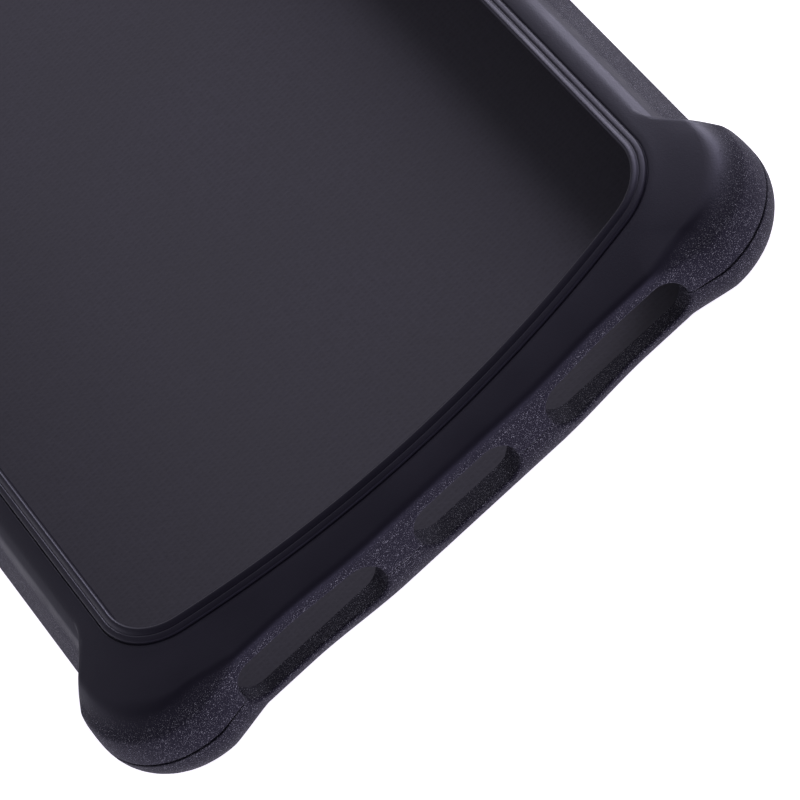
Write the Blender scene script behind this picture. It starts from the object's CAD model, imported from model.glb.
"""Looks of a black rugged phone case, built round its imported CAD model.

Lengths here are millimetres, in the frame of the CAD: the case lies on its back, +Z is out of
the screen opening, +X across the width and the end with the three ports faces -Y. A piece is
made in millimetres and add_piece turns it into metres.
"""

import math

import bmesh
import bpy
import numpy as np
from mathutils import Euler, Matrix, Vector
from mathutils.bvhtree import BVHTree


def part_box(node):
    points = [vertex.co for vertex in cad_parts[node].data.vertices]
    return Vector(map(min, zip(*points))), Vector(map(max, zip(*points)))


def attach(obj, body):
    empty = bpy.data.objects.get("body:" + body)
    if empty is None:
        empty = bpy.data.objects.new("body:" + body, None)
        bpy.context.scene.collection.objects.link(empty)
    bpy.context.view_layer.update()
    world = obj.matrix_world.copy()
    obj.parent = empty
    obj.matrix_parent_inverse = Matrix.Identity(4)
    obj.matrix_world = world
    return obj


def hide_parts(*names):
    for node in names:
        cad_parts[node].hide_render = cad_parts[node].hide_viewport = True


MM = 0.001

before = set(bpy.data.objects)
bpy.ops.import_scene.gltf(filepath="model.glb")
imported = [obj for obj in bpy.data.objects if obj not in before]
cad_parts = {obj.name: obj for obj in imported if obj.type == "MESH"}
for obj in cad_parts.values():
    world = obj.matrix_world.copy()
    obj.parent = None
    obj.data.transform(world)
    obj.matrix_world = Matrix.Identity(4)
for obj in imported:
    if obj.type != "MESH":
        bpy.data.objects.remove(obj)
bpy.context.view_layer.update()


def box_mm(node):
    """Lowest and highest corner of a CAD node, in millimetres."""
    low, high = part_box(node)
    return low / MM, high / MM


BUMPER_HIGH = box_mm("front_bumper")[1]
LINING_LOW, LINING_HIGH = box_mm("inner_lining")
PLATE_LOW, PLATE_HIGH = box_mm("back_plate")
RING_LOW, RING_HIGH = box_mm("camera_ring")

# ---- sizes that the looks share with the CAD ----

FIT_GAP = 0.2
SIDE_WALL = 2.1
END_WALL = 2.0
CAVITY_CORNER_RADIUS = 9.35
WALL_CORNER_RADIUS = 10
PAD_CORNER_RADIUS = 9.0
PAD_RISE_SIDE = 2.1
PAD_RISE_END = 1.1
PAD_HOLD_SIDE = 1.3
PAD_FILLET_SIDE = 3.2
PAD_FILLET_END = 1.6
END_BULGE = 0.7
END_BULGE_FLAT = 9
END_BULGE_REACH = 20
LIP_HALF_WIDTH = 30.7
LIP_HALF_LENGTH = 69.8
LIP_CORNER_RADIUS = 6.0
LIP_END_SLOPE = 14.0
LIP_ROOT_CHAMFER = 1.2
LIP_THICKNESS = 1.25
BEAD_SIDE = 1.4
BEAD_END = 1.6
REAR_EDGE_RADIUS = 4.7
SEAM_Z = 5.0
TONGUE_HEIGHT = 1.0
TONGUE_THICKNESS = 0.85
PLATE_FLANGE = 1.5
PLATE_FLANGE_THICKNESS = 0.5
PLATE_CORNER_RADIUS = 6
PORT_Z = 5.5
PORT_HEIGHT = 4.5
PORTS = ((-18.1, 16.5), (0.0, 11.6), (18.1, 16.5))  # x of the centre, and width
MICROPHONE_X = 10
MICROPHONE_RADIUS = 0.9
KEY_GAP = 0.3
KEY_FLANGE = 0.8
KEY_FLANGE_RISE = 0.4
KEY_FLANGE_THICKNESS = 0.5
KEY_TRAVEL = 0.4
KEYS = {"power_key": "power", "volume_up_key": "volume_up", "volume_down_key": "volume_down"}
CAMERA_RING_WALL = 1.2
CUSHION_THICKNESS = 2.0
CUSHION_HEIGHT = 4.4
CUSHION_ANGLES = (10, 60)
CORNERS = {
    "bottom_left": (-1, -1), "bottom_right": (1, -1), "top_left": (-1, 1), "top_right": (1, 1),
}

# ---- sizes of the looks alone ----

WALL_SLIT = 0.03  # the seam's visible gap along the walls
PAD_SLIT = 0.24  # and round the pads
PORT_EDGE_ROUND = 0.4
MICROPHONE_EDGE_ROUND = 0.2
KEY_SLOT_EDGE_ROUND = 0.25
KEY_EDGE_ROUND = 0.35
KEY_FLANGE_BEVEL = 0.1
KEY_FOOT_BEVEL = 0.08
CUSHION_ROUND = 0.45
CUSHION_POCKET_ROUND = 0.15
CUSHION_END_SHRINK = 0.8  # how much of the round a cushion's section loses at its ends
PLATE_BEVEL = 0.25
PLATE_BEVEL_MIDDLE = 0.08
LINING_BEVEL = 0.12
CAMERA_EDGE_FLARE = 0.4
CAMERA_EDGE_DEPTH = 0.3
CUTTER_OVERRUN = 2.0  # how far a cutter runs past the skin that it opens
ABOVE_FLOOR_Z = 6.0  # higher than anything that the camera's window goes through
SHARP_ANGLE = math.radians(35)  # a fold that is sharper than this isn't shaded smooth
FLOOR_SIZE = 3000
FLOOR_DROP = 0.05

# The bead's section, from its foot outside over its crown to the screen opening. Each row is the
# share of the bead's width, the depth below the top, and the length over which it is rounded.
BEAD_STEPS = (
    (1.0, 0.66, 0.03), (0.97, 0.34, 0.12), (0.62, 0.22, 0.12), (0.55, 0.31, 0.05),
    (0.42, 0.13, 0.16), (0.14, 0.0, 0.14), (0.0, 0.22, 0.08),
)

# Step counts of the meshes.
SIDE_STEPS = 60
PAD_FILLET_STEPS = 24
CORNER_STEPS = 28
END_FILLET_STEPS = 16
END_STEPS = 58
REAR_EDGE_STEPS = 14
SLOT_RUN_STEPS = 24
SLOT_TURN_STEPS = 14
FLARE_STEPS = 6
KEY_EDGE_STEPS = 8
CUSHION_EDGE_STEPS = 4

TOP_Z = BUMPER_HIGH.z
LIP_UNDER_Z = TOP_Z - LIP_THICKNESS
FLOOR_Z = PLATE_HIGH.z


def outline(half_width, half_length, radius, slope=0.0):
    return {"half_width": half_width, "half_length": half_length, "radius": radius, "slope": slope}


CAVITY = outline(LINING_HIGH.x + FIT_GAP, LINING_HIGH.y + FIT_GAP, CAVITY_CORNER_RADIUS)
WALL = outline(
    CAVITY["half_width"] + SIDE_WALL, CAVITY["half_length"] + END_WALL, WALL_CORNER_RADIUS,
)
PAD = outline(
    WALL["half_width"] + PAD_RISE_SIDE, WALL["half_length"] + PAD_RISE_END, PAD_CORNER_RADIUS,
)
LIP = outline(LIP_HALF_WIDTH, LIP_HALF_LENGTH, LIP_CORNER_RADIUS, LIP_END_SLOPE)
PLATE_WINDOW = outline(
    PLATE_HIGH.x - PLATE_FLANGE, PLATE_HIGH.y - PLATE_FLANGE, PLATE_CORNER_RADIUS,
)


# ---- outlines round the case ----

def inset(shape, side, end=None):
    """The outline moved in by one amount on the long sides and another on the ends."""
    end = side if end is None else end
    return outline(
        shape["half_width"] - side,
        shape["half_length"] - end,
        shape["radius"] - (side + end) / 2,
        shape["slope"],
    )


def smoothstep(value, low, high):
    t = np.clip((value - low) / (high - low), 0, 1)
    return t * t * (3 - 2 * t)


def quarter_points(shape, q):
    """x and y of an outline's quarter. q is 0 at the middle of the long side, 1 to 2 round the
    corner, and 3 at the middle of the end, which bows out and leaves the corner at the slope."""
    slope = math.radians(shape["slope"])
    radius = shape["radius"]
    corner_x = shape["half_width"] - radius
    edge_x = corner_x + radius * math.sin(slope)
    bow = edge_x * math.tan(slope) / 2
    corner_y = shape["half_length"] - bow - radius * math.cos(slope)
    angle = (q - 1) * (math.pi / 2 - slope)
    share = 3 - q
    x = np.where(q >= 2, share * edge_x, corner_x + radius * np.cos(angle))
    y = np.where(q >= 2, shape["half_length"] - bow * share**2, corner_y + radius * np.sin(angle))
    x = np.where(q <= 1, shape["half_width"], x)
    y = np.where(q <= 1, q * corner_y, y)
    return x, y


def stations():
    """q and the signs of x and y at every station once round the case, close together where the
    wall turns into a pad."""
    fillet_from = 0.86
    end_fillet_to = 2.08
    quarter = np.concatenate([
        np.linspace(0, fillet_from, SIDE_STEPS, endpoint=False),
        np.linspace(fillet_from, 1, PAD_FILLET_STEPS, endpoint=False),
        np.linspace(1, 2, CORNER_STEPS, endpoint=False),
        np.linspace(2, end_fillet_to, END_FILLET_STEPS, endpoint=False),
        np.linspace(end_fillet_to, 3, END_STEPS),
    ])
    q, sign_x, sign_y = [], [], []
    for sx, sy in ((1, -1), (1, 1), (-1, 1), (-1, -1)):
        ordered = quarter if sx * sy > 0 else quarter[::-1]
        q.append(ordered[:-1])
        sign_x.append(np.full(len(quarter) - 1, sx))
        sign_y.append(np.full(len(quarter) - 1, sy))
    return np.concatenate(q), np.concatenate(sign_x), np.concatenate(sign_y)


Q, SIGN_X, SIGN_Y = stations()


def pad_share():
    """How far the wall has turned into a corner pad at each station, from 0 to 1."""
    corner_x = WALL["half_width"] - WALL["radius"]
    corner_y = WALL["half_length"] - WALL["radius"]
    side = 1 - smoothstep((1 - Q) * corner_y, PAD_HOLD_SIDE, PAD_HOLD_SIDE + PAD_FILLET_SIDE)
    end = 1 - smoothstep((Q - 2) * corner_x, 0, PAD_FILLET_END)
    return np.where(Q < 1, side, np.where(Q > 2, end, 1.0))


PAD_SHARE = pad_share()
END_SHARE = smoothstep(Q, 1.5, 2.05)  # 0 along the sides, and 1 along the ends


def ring(x, y, z):
    return np.stack([SIGN_X * x, SIGN_Y * y, np.broadcast_to(z, x.shape)], axis=1)


def plain_ring(shape, z):
    x, y = quarter_points(shape, Q)
    return ring(x, y, z)


def outside_ring(wall_inset, pad_inset, z, pad_radius=None):
    """A ring on the outside: the bulged wall blended into the pads. Insets are (side, end)."""
    x, y = quarter_points(inset(WALL, *wall_inset), Q)
    bulge = END_BULGE * (1 - smoothstep(x, END_BULGE_FLAT, END_BULGE_REACH))
    y = y + np.where(Q > 2, bulge, 0)
    pad = inset(PAD, *pad_inset)
    if pad_radius:
        pad["radius"] = pad_radius
    pad_x, pad_y = quarter_points(pad, Q)
    return ring(x + (pad_x - x) * PAD_SHARE, y + (pad_y - y) * PAD_SHARE, z)


# ---- meshes ----

def rounded_section(lines):
    """Rings of a closed section. lines are (ring, round, steps): each ring is a corner of the
    section, which is rounded over a length that may differ from station to station."""
    rings = []
    for k, (line, size, steps) in enumerate(lines):
        if steps == 0:
            rings.append(line)
            continue
        before = lines[k - 1][0] - line
        after = lines[(k + 1) % len(lines)][0] - line
        before_length = np.linalg.norm(before, axis=1)
        after_length = np.linalg.norm(after, axis=1)
        start = line + before * (np.minimum(size, before_length / 2) / before_length)[:, None]
        end = line + after * (np.minimum(size, after_length / 2) / after_length)[:, None]
        for i in range(steps + 1):
            t = i / steps
            rings.append((1 - t) ** 2 * start + 2 * t * (1 - t) * line + t**2 * end)
    return rings


def ring_faces(ring_count, point_count, closed):
    """Quads between each ring and the next, and when closed from the last ring to the first."""
    faces = []
    for k in range(ring_count if closed else ring_count - 1):
        low = k * point_count
        high = (k + 1) % ring_count * point_count
        for i in range(point_count):
            j = (i + 1) % point_count
            faces.append((low + i, low + j, high + j, high + i))
    return faces


def smooth(obj):
    obj.data.shade_smooth()
    obj.data.set_sharp_from_angle(angle=SHARP_ANGLE)


def mesh_object(name, points, faces):
    mesh = bpy.data.meshes.new(name)
    mesh.from_pydata([tuple(p) for p in np.asarray(points)], [], faces)
    outward = bmesh.new()
    outward.from_mesh(mesh)
    bmesh.ops.recalc_face_normals(outward, faces=outward.faces)
    outward.to_mesh(mesh)
    outward.free()
    obj = bpy.data.objects.new(name, mesh)
    bpy.context.scene.collection.objects.link(obj)
    smooth(obj)
    return obj


def closed_ring_object(name, rings):
    faces = ring_faces(len(rings), len(rings[0]), closed=True)
    return mesh_object(name, np.concatenate(rings), faces)


def capped_object(name, rings):
    """A solid whose rings run from a flat first face to a flat last face."""
    count = len(rings[0])
    faces = ring_faces(len(rings), count, closed=False)
    faces.append(tuple(reversed(range(count))))
    faces.append(tuple(range((len(rings) - 1) * count, len(rings) * count)))
    return mesh_object(name, np.concatenate(rings), faces)


def cut(obj, cutters):
    """Takes the cutters out of an object."""
    for cutter in cutters:
        modifier = obj.modifiers.new("cut", "BOOLEAN")
        modifier.operation = "DIFFERENCE"
        modifier.solver = "EXACT"
        modifier.object = cutter
    bpy.context.view_layer.update()
    evaluated = obj.evaluated_get(bpy.context.evaluated_depsgraph_get())
    mesh = bpy.data.meshes.new_from_object(evaluated)
    obj.modifiers.clear()
    obj.data = mesh
    smooth(obj)


def remove(objects):
    for obj in objects:
        bpy.data.objects.remove(obj)


# ---- openings ----

def slot_ring(axis, centre, length, height, grow, at):
    """Points round a slot with round ends, in the plane across an axis. The slot runs along Y
    when the axis is X, and along X otherwise. grow makes it larger all round."""
    radius = height / 2 + grow
    run = (length - height) / 2
    along = np.linspace(-run, run, SLOT_RUN_STEPS, endpoint=False)
    turn = np.linspace(-math.pi / 2, math.pi / 2, SLOT_TURN_STEPS, endpoint=False)
    first = np.concatenate([along, run + radius * np.cos(turn)])
    second = np.concatenate([np.full(len(along), -radius), radius * np.sin(turn)])
    first = np.concatenate([first, -first])
    second = np.concatenate([second, -second])
    level = np.full(len(first), float(at))
    order = {"x": (level, first, second), "y": (first, level, second), "z": (first, second, level)}
    ring_points = np.stack(order[axis], axis=1) + np.array(centre)
    ring_points[:, "xyz".index(axis)] = at
    return ring_points


def surface_depth(tree, points, direction):
    """How far along a direction each point meets the surface."""
    hits = []
    for p in points:
        hit = tree.ray_cast(Vector(p), Vector(direction))
        hits.append(hit[3] if hit[0] is not None else np.nan)
    hits = np.array(hits)
    known = ~np.isnan(hits)
    hits[~known] = np.interp(np.flatnonzero(~known), np.flatnonzero(known), hits[known])
    return hits


def flared_rings(tree, axis, sign, slot, edge_round, inner):
    """Rings of a slot cutter through a wall, flared at the surface so that the edge is round.
    slot is (centre, length, height), and inner is where the cutter ends inside the cavity."""
    far_outside = 100
    outside_run = 3
    first_turn = 10
    rings = []
    column = "xyz".index(axis)
    inward = [0, 0, 0]
    inward[column] = -sign
    for i in range(FLARE_STEPS + 1):
        turn = math.radians(first_turn + (90 - first_turn) * i / FLARE_STEPS)
        grow = edge_round * (1 - math.sin(turn))
        mouth = slot_ring(axis, *slot, grow, sign * far_outside)
        depth = surface_depth(tree, mouth, inward)
        mouth[:, column] -= sign * (depth + edge_round * (1 - math.cos(turn)))
        if i == 0:
            outer = mouth.copy()
            outer[:, column] += sign * outside_run
            rings.append(outer)
        rings.append(mouth)
    last = rings[-1].copy()
    last[:, column] = inner
    rings.append(last)
    return rings


def key_size(name):
    """Centre, length and height of a key's cap, from its CAD node."""
    low, high = box_mm(name)
    centre = (low + high) / 2
    return centre, high.y - low.y - 2 * KEY_FLANGE, high.z - low.z - 2 * KEY_FLANGE_RISE


def key_flange(name, gap, *levels):
    """Rings of a key's flange, or with a gap of its pocket. levels are (grow, x)."""
    centre, length, height = key_size(name)
    size = (length + 2 * (KEY_FLANGE + gap), height + 2 * (KEY_FLANGE_RISE + gap))
    return [slot_ring("x", centre, *size, grow, at) for grow, at in levels]


def wall_cutters(tree):
    """Cutters for the ports, the microphone hole and the key slots with their pockets."""
    cutters = []
    end_inner = CAVITY["half_length"] - CUTTER_OVERRUN
    for x, width in PORTS:
        slot = ((x, 0, PORT_Z), width, PORT_HEIGHT)
        rings = flared_rings(tree, "y", -1, slot, PORT_EDGE_ROUND, -end_inner)
        cutters.append(capped_object("port_cutter", rings))
    size = 2 * MICROPHONE_RADIUS
    least_run = 0.01  # a slot ring's points need some straight run between its round ends
    slot = ((MICROPHONE_X, 0, PORT_Z), size + least_run, size)
    rings = flared_rings(tree, "y", 1, slot, MICROPHONE_EDGE_ROUND, end_inner)
    cutters.append(capped_object("microphone_cutter", rings))
    key_inner = CAVITY["half_width"] - CUTTER_OVERRUN
    pocket_outer = CAVITY["half_width"] + KEY_FLANGE_THICKNESS + KEY_TRAVEL + FIT_GAP
    for name in KEYS:
        centre, length, height = key_size(name)
        slot = (centre, length + 2 * KEY_GAP, height + 2 * KEY_GAP)
        rings = flared_rings(tree, "x", 1, slot, KEY_SLOT_EDGE_ROUND, key_inner)
        cutters.append(capped_object("key_cutter", rings))
        pocket = key_flange(name, KEY_GAP, (0, pocket_outer), (0, key_inner))
        cutters.append(capped_object("pocket_cutter", pocket))
    return cutters


def uncut_outside():
    """The outside of the case before any opening, as a tree to cast rays at."""
    rings = [line for line, _, _ in rear_outside() + bumper_outside()]
    faces = ring_faces(len(rings), len(Q), closed=False)
    return BVHTree.FromPolygons([tuple(p) for p in np.concatenate(rings)], faces)


# ---- the two rubber halves ----

def seam_gap():
    """Half the visible gap: all but closed along the walls, and a slit round the pads."""
    return (WALL_SLIT + (PAD_SLIT - WALL_SLIT) * PAD_SHARE) / 2


def bumper_outside():
    """Section of the bumper from the seam to the foot of the bead, in rows of (ring, round,
    steps): the seam, the upright wall, the edge that turns in, the shoulder and the bezel."""
    plain_side = (1 - PAD_SHARE) * (1 - END_SHARE)
    pad_side = PAD_SHARE * (1 - END_SHARE)
    plain_end = END_SHARE * (1 - PAD_SHARE)
    shoulder_round = 0.3 + 0.4 * plain_end + 0.5 * plain_side + 0.9 * pad_side
    edge_round = 0.3 + 0.9 * plain_side
    edge_z = TOP_Z - 1.8 - 0.8 * PAD_SHARE
    shoulder_pad_radius = 7.5
    middle = inset(LIP, -BEAD_SIDE * 2.1, -BEAD_END * 2.1)
    foot = inset(LIP, -BEAD_SIDE * 1.12, -BEAD_END * 1.12)
    shoulder = outside_ring((2.3, 0.5), (2.0, 3.2), TOP_Z - 1.1, shoulder_pad_radius)
    return [
        (outside_ring((0, 0), (0, 0), SEAM_Z + seam_gap()), 0.1, 2),
        (outside_ring((0.8, 0.1), (0.15, 0.3), TOP_Z - 3.8), 1.2, 6),
        (outside_ring((1.7, 0.25), (0.5, 0.9), edge_z), edge_round, 6),
        (shoulder, shoulder_round, 6),
        (plain_ring(middle, TOP_Z - 0.72), 1.2, 5),
        (plain_ring(foot, TOP_Z - 0.55), 0.08, 2),
    ]


def bead_section():
    """Section of the bead round the screen opening, from its foot over its crown."""
    lines = []
    for across, drop, size in BEAD_STEPS:
        shape = inset(LIP, -BEAD_SIDE * across, -BEAD_END * across)
        lines.append((plain_ring(shape, TOP_Z - drop), size, 3))
    return lines


def front_bumper():
    rebate = inset(CAVITY, -TONGUE_THICKNESS - FIT_GAP)
    rebate_top = SEAM_Z + TONGUE_HEIGHT + FIT_GAP
    lines = [
        (plain_ring(inset(CAVITY, LIP_ROOT_CHAMFER), LIP_UNDER_Z), 0.1, 2),
        (plain_ring(CAVITY, LIP_UNDER_Z - LIP_ROOT_CHAMFER), 0.6, 5),
        (plain_ring(CAVITY, rebate_top), 0, 0),
        (plain_ring(rebate, rebate_top), 0, 0),
        (plain_ring(rebate, SEAM_Z + seam_gap()), 0, 0),
    ]
    lines += bumper_outside()
    lines += bead_section()
    lines.append((plain_ring(LIP, LIP_UNDER_Z), 0.1, 2))
    return closed_ring_object("bumper_skin", rounded_section(lines))


def rear_outside():
    """Section of the rear shell from under its rounded edge up to the seam."""
    lines = []
    for i in range(REAR_EDGE_STEPS + 1):
        turn = math.radians(90 * i / REAR_EDGE_STEPS)
        away = REAR_EDGE_RADIUS * (1 - math.sin(turn))
        height = REAR_EDGE_RADIUS * (1 - math.cos(turn))
        lines.append((outside_ring((away, away), (away, away), height), 0, 0))
    lines.append((outside_ring((0, 0), (0, 0), SEAM_Z - seam_gap()), 0.08, 2))
    return lines


def rear_shell():
    tongue = inset(CAVITY, -TONGUE_THICKNESS)
    rebate = inset(PLATE_WINDOW, -PLATE_FLANGE - FIT_GAP)
    rebate_z = FLOOR_Z - PLATE_FLANGE_THICKNESS - FIT_GAP
    lines = [(plain_ring(PLATE_WINDOW, 0.0), 0.15, 2)]
    lines += rear_outside()
    lines += [
        (plain_ring(tongue, SEAM_Z - seam_gap()), 0, 0),
        (plain_ring(tongue, SEAM_Z + TONGUE_HEIGHT), 0.1, 2),
        (plain_ring(CAVITY, SEAM_Z + TONGUE_HEIGHT), 0.1, 2),
        (plain_ring(CAVITY, FLOOR_Z), 0.4, 3),
        (plain_ring(rebate, FLOOR_Z), 0, 0),
        (plain_ring(rebate, rebate_z), 0, 0),
        (plain_ring(PLATE_WINDOW, rebate_z), 0, 0),
    ]
    return closed_ring_object("rear_skin", rounded_section(lines))


# ---- smaller pieces ----

def camera_rings(grow, levels):
    """Rings of the camera window's slot. levels are (extra, z): a ring is grown by grow + extra."""
    centre = (RING_LOW + RING_HIGH) / 2
    length = RING_HIGH.x - RING_LOW.x - 2 * CAMERA_RING_WALL
    height = RING_HIGH.y - RING_LOW.y - 2 * CAMERA_RING_WALL
    return [slot_ring("z", centre, length, height, grow + extra, at) for extra, at in levels]


def camera_cutter():
    """The opening for the camera ring in the rear shell, flared at the outside."""
    flare = CAMERA_EDGE_FLARE
    levels = [(flare, -CUTTER_OVERRUN), (flare, 0), (0, CAMERA_EDGE_DEPTH), (0, ABOVE_FLOOR_Z)]
    return capped_object("camera_cutter", camera_rings(CAMERA_RING_WALL + FIT_GAP, levels))


def cushion_section(half_depth, half_height, edge_round):
    """A rounded rectangle of (depth, height) points round 0."""
    points = []
    for cx, cz, first in ((1, 1, 0), (-1, 1, 90), (-1, -1, 180), (1, -1, 270)):
        for step in range(CUSHION_EDGE_STEPS + 1):
            turn = math.radians(first + 90 * step / CUSHION_EDGE_STEPS)
            depth = cx * (half_depth - edge_round) + edge_round * math.cos(turn)
            height = cz * (half_height - edge_round) + edge_round * math.sin(turn)
            points.append((depth, height))
    return np.array(points)


def cushion_rings(sx, sy, gap, edge_round, inner_radius):
    """Rings of a cushion that follows a cavity corner, or with a gap its pocket."""
    centre = np.array([
        CAVITY["half_width"] - CAVITY["radius"], CAVITY["half_length"] - CAVITY["radius"], PORT_Z,
    ])
    outer_radius = CAVITY["radius"] + CUSHION_THICKNESS + gap
    half_height = CUSHION_HEIGHT / 2 + gap
    middle = (inner_radius + outer_radius) / 2
    half_depth = (outer_radius - inner_radius) / 2
    start = math.radians(CUSHION_ANGLES[0]) - gap / inner_radius
    end = math.radians(CUSHION_ANGLES[1]) + gap / inner_radius
    rings = []
    for share in (0, 0.02, 0.06, *np.linspace(0.12, 0.88, 12), 0.94, 0.98, 1):
        angle = start + (end - start) * share
        from_end = min(share, 1 - share) * (end - start) * middle
        reach = max(0.0, edge_round - from_end) / edge_round
        shrink = edge_round * (1 - math.sqrt(1 - reach**2)) * CUSHION_END_SHRINK
        section = cushion_section(half_depth - shrink, half_height - shrink, edge_round)
        away = middle + section[:, 0]
        x = away * math.cos(angle)
        y = away * math.sin(angle)
        points = centre + np.stack([x, y, section[:, 1]], 1)
        rings.append(points * np.array([sx, sy, 1]))
    return rings


def cushion_pockets():
    opened_radius = CAVITY["radius"] - 1
    pockets = []
    for sx, sy in CORNERS.values():
        rings = cushion_rings(sx, sy, FIT_GAP, CUSHION_POCKET_ROUND, opened_radius)
        pockets.append(capped_object("cushion_pocket", rings))
    return pockets


def key_piece(name):
    """A key: a flange behind the wall, and a cap with a rounded, slightly crowned top."""
    low, high = box_mm(name)
    centre, length, height = key_size(name)
    bevel = KEY_FLANGE_BEVEL
    flange_x = low.x + KEY_FLANGE_THICKNESS
    rings = key_flange(
        name, 0, (-bevel, low.x), (0, low.x + bevel), (0, flange_x - bevel), (-bevel, flange_x),
    )
    crown_height = 0.1
    crown = ((0.35, 0.03), (0.8, 0))  # how far in from the rounded edge, and depth below the top
    edge_x = high.x - crown_height - KEY_EDGE_ROUND
    steps = [(KEY_FOOT_BEVEL, flange_x), (0, flange_x + KEY_FOOT_BEVEL)]
    for i in range(KEY_EDGE_STEPS + 1):
        turn = math.radians(90 * i / KEY_EDGE_STEPS)
        rise = KEY_EDGE_ROUND * math.sin(turn)
        steps.append((KEY_EDGE_ROUND * (math.cos(turn) - 1), edge_x + rise))
    steps += [(-KEY_EDGE_ROUND - away, high.x - drop) for away, drop in crown]
    rings += [slot_ring("x", centre, length, height, grow, at) for grow, at in steps]
    return capped_object(name + "_cap", rings)


def back_plate_piece():
    window = inset(PLATE_WINDOW, FIT_GAP)
    flange = inset(PLATE_WINDOW, -PLATE_FLANGE)
    flange_z = PLATE_HIGH.z - PLATE_FLANGE_THICKNESS
    rings = [
        plain_ring(inset(window, PLATE_BEVEL), PLATE_LOW.z),
        plain_ring(inset(window, PLATE_BEVEL_MIDDLE), PLATE_LOW.z + PLATE_BEVEL_MIDDLE),
        plain_ring(window, PLATE_LOW.z + PLATE_BEVEL),
        plain_ring(window, flange_z),
        plain_ring(flange, flange_z),
        plain_ring(flange, PLATE_HIGH.z),
    ]
    return capped_object("plate_skin", rings)


def camera_ring_piece():
    """The ring's section as (away from the window, z): a wide bevel at the window, a small one
    outside."""
    wall, low, high = CAMERA_RING_WALL, RING_LOW.z, RING_HIGH.z
    levels = [
        (0, high), (0, low + 0.45), (0.12, low + 0.15), (0.4, low),
        (wall - 0.3, low), (wall - 0.08, low + 0.08), (wall, low + 0.3), (wall, high),
    ]
    return closed_ring_object("ring_skin", camera_rings(0, levels))


def lining_piece():
    sheet = inset(CAVITY, FIT_GAP)
    rings = [
        plain_ring(inset(sheet, LINING_BEVEL), LINING_LOW.z),
        plain_ring(sheet, LINING_LOW.z + LINING_BEVEL),
        plain_ring(sheet, LINING_HIGH.z - LINING_BEVEL),
        plain_ring(inset(sheet, LINING_BEVEL), LINING_HIGH.z),
    ]
    lining = capped_object("lining_sheet", rings)
    levels = [(0, -CUTTER_OVERRUN), (0, ABOVE_FLOOR_Z)]
    window = capped_object("window", camera_rings(FIT_GAP, levels))
    cut(lining, [window])
    remove([window])
    return lining


# ---- materials ----

def node(tree, kind, inputs=None, **settings):
    """Adds a node. inputs are values, or sockets to link from."""
    made = tree.nodes.new(kind)
    for key, value in settings.items():
        setattr(made, key, value)
    for key, value in (inputs or {}).items():
        if isinstance(value, bpy.types.NodeSocket):
            tree.links.new(value, made.inputs[key])
        else:
            made.inputs[key].default_value = value
    return made


def noise(tree, place, scale, detail, roughness=0.5):
    made = node(tree, "ShaderNodeTexNoise", {
        "Vector": place, "Scale": scale, "Detail": detail, "Roughness": roughness,
    })
    return made.outputs["Fac"]


def maths(tree, operation, *values):
    made = node(tree, "ShaderNodeMath", dict(enumerate(values)), operation=operation)
    return made.outputs[0]


def remap(tree, value, source, target):
    """Maps the source range of a value to the target range, and holds it within that."""
    made = node(tree, "ShaderNodeMapRange", {
        "Value": value, "From Min": source[0], "From Max": source[1],
        "To Min": target[0], "To Max": target[1],
    })
    return made.outputs[0]


def blend(tree, share, first, second):
    """Mixes two colours. The sockets 6, 7 and 2 are those of a Mix node's colours."""
    made = node(tree, "ShaderNodeMix", {0: share, 6: first, 7: second}, data_type="RGBA")
    return made.outputs[2]


def opaque(colour, gain=1):
    return (*[channel * gain for channel in colour], 1)


def bumps(tree, height, strength, depth):
    """A bump of a depth in mm."""
    made = node(tree, "ShaderNodeBump", {
        "Height": height, "Strength": strength, "Distance": depth * MM,
    })
    return made.outputs[0]


def new_material(name):
    """A material with its node tree, its shader and its place on the object."""
    material = bpy.data.materials.new(name)
    material.use_nodes = True
    tree = material.node_tree
    place = node(tree, "ShaderNodeTexCoord").outputs["Object"]
    return material, tree, tree.nodes["Principled BSDF"], place


def link_looks(tree, shader, colour, roughness, normal):
    tree.links.new(colour, shader.inputs["Base Color"])
    tree.links.new(roughness, shader.inputs["Roughness"])
    tree.links.new(normal, shader.inputs["Normal"])


BLACK = (0.0072, 0.0062, 0.0115)
DUST = (0.28, 0.27, 0.34)
RUBBER_GLINT = (0.66, 0.61, 1, 1)


def speck_share(tree, place, split):
    """Where the dust specks lie: scattered, and closer together at the seam and on the ends."""
    seam_reach = 0.1
    seam_gain = 0.09
    end_wall_range = (73.2 * MM, 74.4 * MM)
    end_wall_gain = 0.045
    threshold = (0.7, 0.78)
    specks = noise(tree, place, 15000.0, 0.0)
    near_seam = maths(tree, "COMPARE", split.outputs["Z"], SEAM_Z * MM, seam_reach * MM)
    with_seam = maths(tree, "MULTIPLY_ADD", near_seam, seam_gain, specks)
    along = maths(tree, "ABSOLUTE", split.outputs["Y"])
    end_wall = remap(tree, along, end_wall_range, (0, end_wall_gain))
    patches = noise(tree, place, 330.0, 3.0)
    dusty = maths(tree, "MULTIPLY_ADD", end_wall, patches, with_seam)
    return remap(tree, dusty, threshold, (0, 1))


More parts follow.
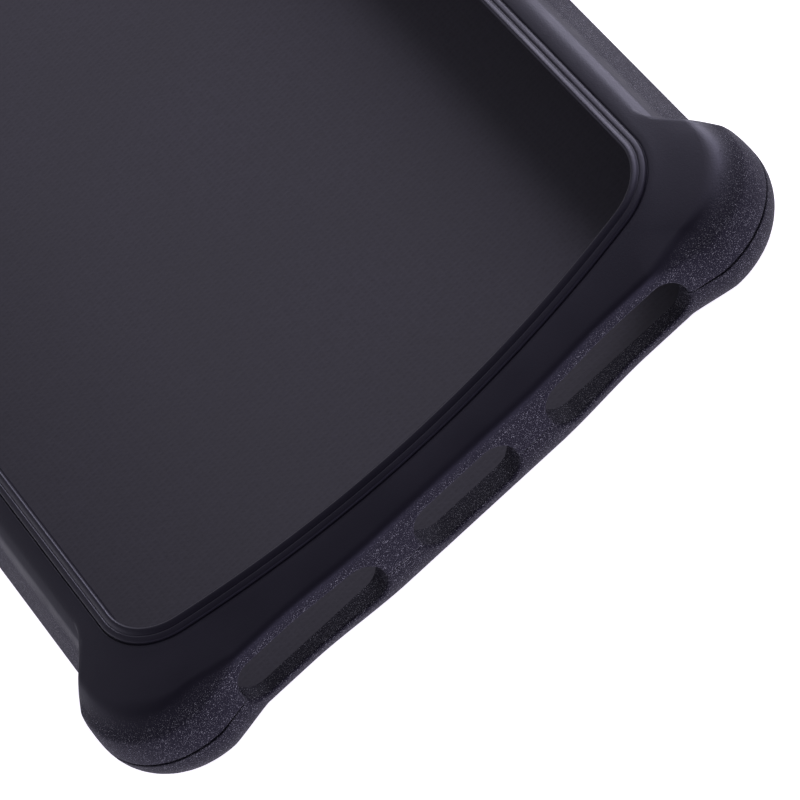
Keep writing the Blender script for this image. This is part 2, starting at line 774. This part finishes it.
def rubber(name, shine, roughness, grain_roughness, grain_low, grain_high, bump):
    """Moulded rubber: satin above grain_high and grainy below grain_low (mm), with dust specks on
    its grain. shine is the specular level, and bump the grain's depth in mm."""
    material, tree, shader, place = new_material(name)
    split = node(tree, "ShaderNodeSeparateXYZ", {0: place})
    wander = noise(tree, place, 260.0, 2.0)
    wander_height = 0.6 * MM
    edge = maths(tree, "MULTIPLY_ADD", wander, wander_height, split.outputs["Z"])
    zone = remap(tree, edge, (grain_high * MM, grain_low * MM), (0, 1))
    cloud = noise(tree, place, 90.0, 4.0)
    specks = maths(tree, "MULTIPLY", speck_share(tree, place, split), zone)
    tint = blend(tree, cloud, opaque(BLACK), opaque(BLACK, 1.5))
    colour = blend(tree, specks, tint, opaque(DUST))
    gloss = remap(tree, zone, (0, 1), (roughness, grain_roughness))
    cloud_roughness = 0.24
    uneven = maths(tree, "MULTIPLY_ADD", cloud, cloud_roughness, gloss)
    satin_relief = 0.12
    grain = noise(tree, place, 5200.0, 3.0, 0.65)
    relief = maths(tree, "MULTIPLY", grain, remap(tree, zone, (0, 1), (satin_relief, 1)))
    shader.inputs["Specular IOR Level"].default_value = shine
    shader.inputs["Specular Tint"].default_value = RUBBER_GLINT
    link_looks(tree, shader, colour, uneven, bumps(tree, relief, 1.0, bump))
    return material


def plastic(name, base, roughness, grain_scale, bump, scratch):
    """Hard moulded plastic with a fine texture, uneven gloss and faint rubbed streaks."""
    material, tree, shader, place = new_material(name)
    grain = noise(tree, place, grain_scale, 3.0)
    cloud = noise(tree, place, 70.0, 5.0)
    stretch = node(tree, "ShaderNodeMapping", {"Vector": place, "Scale": (1.0, 0.04, 1.0)})
    streak = noise(tree, stretch.outputs[0], 2500.0, 2.0)
    streak_threshold = (0.62, 0.75)
    rubbed = remap(tree, streak, streak_threshold, (0, scratch))
    smoother, rougher = 0.07, 0.12
    uneven = remap(tree, cloud, (0, 1), (roughness - smoother, roughness + rougher))
    gloss = maths(tree, "ADD", uneven, rubbed)
    tint = blend(tree, cloud, opaque(base), opaque(base, 1.6))
    shader.inputs["Specular Tint"].default_value = (0.8, 0.78, 1, 1)
    link_looks(tree, shader, tint, gloss, bumps(tree, grain, 1.0, bump))
    return material


def cloth(name, dark, light, thread):
    """Fine woven cloth: two crossing sets of threads with a soft nap. thread is a thread's width
    in mm."""
    material, tree, shader, place = new_material(name)
    wobble = noise(tree, place, 1800.0, 4.0)
    # A wave of this scale repeats about every two threads.
    wave_scale = 1 / (thread * MM) / 6.5
    bands = []
    for direction in ("X", "Y"):
        wave = node(tree, "ShaderNodeTexWave", {
            "Vector": place, "Scale": wave_scale, "Distortion": 1.2, "Detail": 2.0,
            "Detail Scale": 3.0,
        }, bands_direction=direction)
        bands.append(wave.outputs["Fac"])
    weave = maths(tree, "MAXIMUM", *bands)
    weave_depth = 0.3
    nap = maths(tree, "MULTIPLY_ADD", weave, weave_depth, wobble)
    cloud = noise(tree, place, 45.0, 4.0)
    shade = maths(tree, "MULTIPLY", nap, cloud)
    tint = blend(tree, shade, opaque(dark), opaque(light))
    rough = remap(tree, cloud, (0, 1), (0.75, 0.95))
    shader.inputs["Sheen Weight"].default_value = 0.2
    shader.inputs["Sheen Roughness"].default_value = 0.5
    shader.inputs["Sheen Tint"].default_value = (0.8, 0.75, 1, 1)
    shader.inputs["Specular IOR Level"].default_value = 0.25
    link_looks(tree, shader, tint, rough, bumps(tree, nap, 0.8, 0.03))
    return material


# ---- camera, lights and floor ----

def add_camera():
    """The photograph's viewpoint: above the port end, turned well over to one side."""
    azimuth, elevation, roll = math.radians(-2.33), math.radians(43.90), math.radians(44.15)
    target = Vector((1.225, -65.719, 10.4)) * MM
    distance = 534.79 * MM
    camera = bpy.data.cameras.new("camera")
    camera.sensor_width = 36
    camera.lens = 273.46
    camera.clip_start = 0.01
    obj = bpy.data.objects.new("camera", camera)
    turn = Euler((math.pi / 2 - elevation, 0, -azimuth)).to_matrix()
    turn = turn @ Matrix.Rotation(-roll, 3, "Z")
    obj.location = target + turn @ Vector((0, 0, distance))
    obj.rotation_euler = turn.to_euler()
    bpy.context.scene.collection.objects.link(obj)
    bpy.context.scene.camera = obj


def add_soft_box(name, place, size, power):
    """A rectangular light in metres and watts that faces the middle of the case."""
    light = bpy.data.lights.new(name, "AREA")
    light.shape = "RECTANGLE"
    light.size, light.size_y = size
    light.energy = power
    obj = bpy.data.objects.new(name, light)
    obj.location = place
    obj.rotation_euler = (-Vector(place)).to_track_quat("-Z", "Y").to_euler()
    bpy.context.scene.collection.objects.link(obj)


def add_studio():
    """A soft surround that is bright at the horizon and dim overhead, and three soft boxes."""
    horizon, overhead = 0.85, 0.07
    world = bpy.data.worlds.new("studio")
    world.use_nodes = True
    tree = world.node_tree
    place = node(tree, "ShaderNodeTexCoord").outputs["Generated"]
    split = node(tree, "ShaderNodeSeparateXYZ", {0: place})
    level = node(tree, "ShaderNodeMapRange", {
        "Value": split.outputs["Z"], "From Min": 0.0, "From Max": 0.95,
        "To Min": horizon, "To Max": overhead,
    }, interpolation_type="SMOOTHSTEP")
    background = tree.nodes["Background"]
    background.inputs["Color"].default_value = (1, 1, 1, 1)
    tree.links.new(level.outputs[0], background.inputs["Strength"])
    bpy.context.scene.world = world
    add_soft_box("left_box", (-0.9, 0.7, 0.5), (0.4, 0.3), 0.8)
    add_soft_box("right_box", (0.7, 0.84, 0.56), (0.5, 0.5), 7.5)
    add_soft_box("corner_box", (0.8, 0.4, 0.83), (0.3, 0.3), 3.5)


def add_floor():
    half = FLOOR_SIZE / 2
    corners = ((-1, -1), (1, -1), (1, 1), (-1, 1))
    points = [(sx * half, sy * half, -FLOOR_DROP) for sx, sy in corners]
    floor = mesh_object("floor", np.array(points) * MM, [(0, 1, 2, 3)])
    material = bpy.data.materials.new("pale_floor")
    material.use_nodes = True
    shader = material.node_tree.nodes["Principled BSDF"]
    shader.inputs["Base Color"].default_value = (0.9, 0.9, 0.9, 1)
    shader.inputs["Roughness"].default_value = 0.8
    shader.inputs["Emission Color"].default_value = (0.92, 0.88, 1.0, 1)
    shader.inputs["Emission Strength"].default_value = 1.05
    floor.data.materials.append(material)


# ---- assembly ----

def add_piece(obj, cad_node, body, material):
    """Turns a piece into metres and lets it stand for its CAD node."""
    obj.data.transform(Matrix.Scale(MM, 4))
    obj.data.materials.clear()
    obj.data.materials.append(material)
    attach(obj, body)
    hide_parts(cad_node)


add_camera()
add_studio()
add_floor()
bpy.context.scene.view_settings.view_transform = "Standard"

bumper_rubber = rubber("bumper_rubber", 0.35, 0.31, 0.66, 8.7, 9.5, 0.09)
rear_rubber = rubber("rear_rubber", 0.2, 0.45, 0.55, 19, 20, 0.09)
key_rubber = rubber("key_rubber", 0.4, 0.36, 0.48, -2, -1, 0.05)
cushion_rubber = rubber("cushion_rubber", 0.3, 0.6, 0.65, 19, 20, 0.06)
hard_plate = plastic("hard_plate", (0.011, 0.0105, 0.013), 0.4, 2600.0, 0.12, 0.15)
hard_ring = plastic("hard_ring", (0.01, 0.01, 0.012), 0.16, 6000.0, 0.006, 0.2)
lining_cloth = cloth("lining_cloth", (0.027, 0.024, 0.037), (0.048, 0.043, 0.066), 0.3)

bumper = front_bumper()
rear = rear_shell()
cutters = wall_cutters(uncut_outside()) + cushion_pockets()
cut(bumper, cutters)
cutters.append(camera_cutter())
cut(rear, cutters)
remove(cutters)

add_piece(bumper, "front_bumper", "case", bumper_rubber)
add_piece(rear, "rear_shell", "case", rear_rubber)
add_piece(back_plate_piece(), "back_plate", "case", hard_plate)
add_piece(camera_ring_piece(), "camera_ring", "case", hard_ring)
add_piece(lining_piece(), "inner_lining", "case", lining_cloth)
for place, (sx, sy) in CORNERS.items():
    rings = cushion_rings(sx, sy, 0, CUSHION_ROUND, CAVITY["radius"])
    cushion = capped_object("cushion_" + place, rings)
    add_piece(cushion, "corner_cushion_" + place, "case", cushion_rubber)
for name, body in KEYS.items():
    add_piece(key_piece(name), name, body, key_rubber)
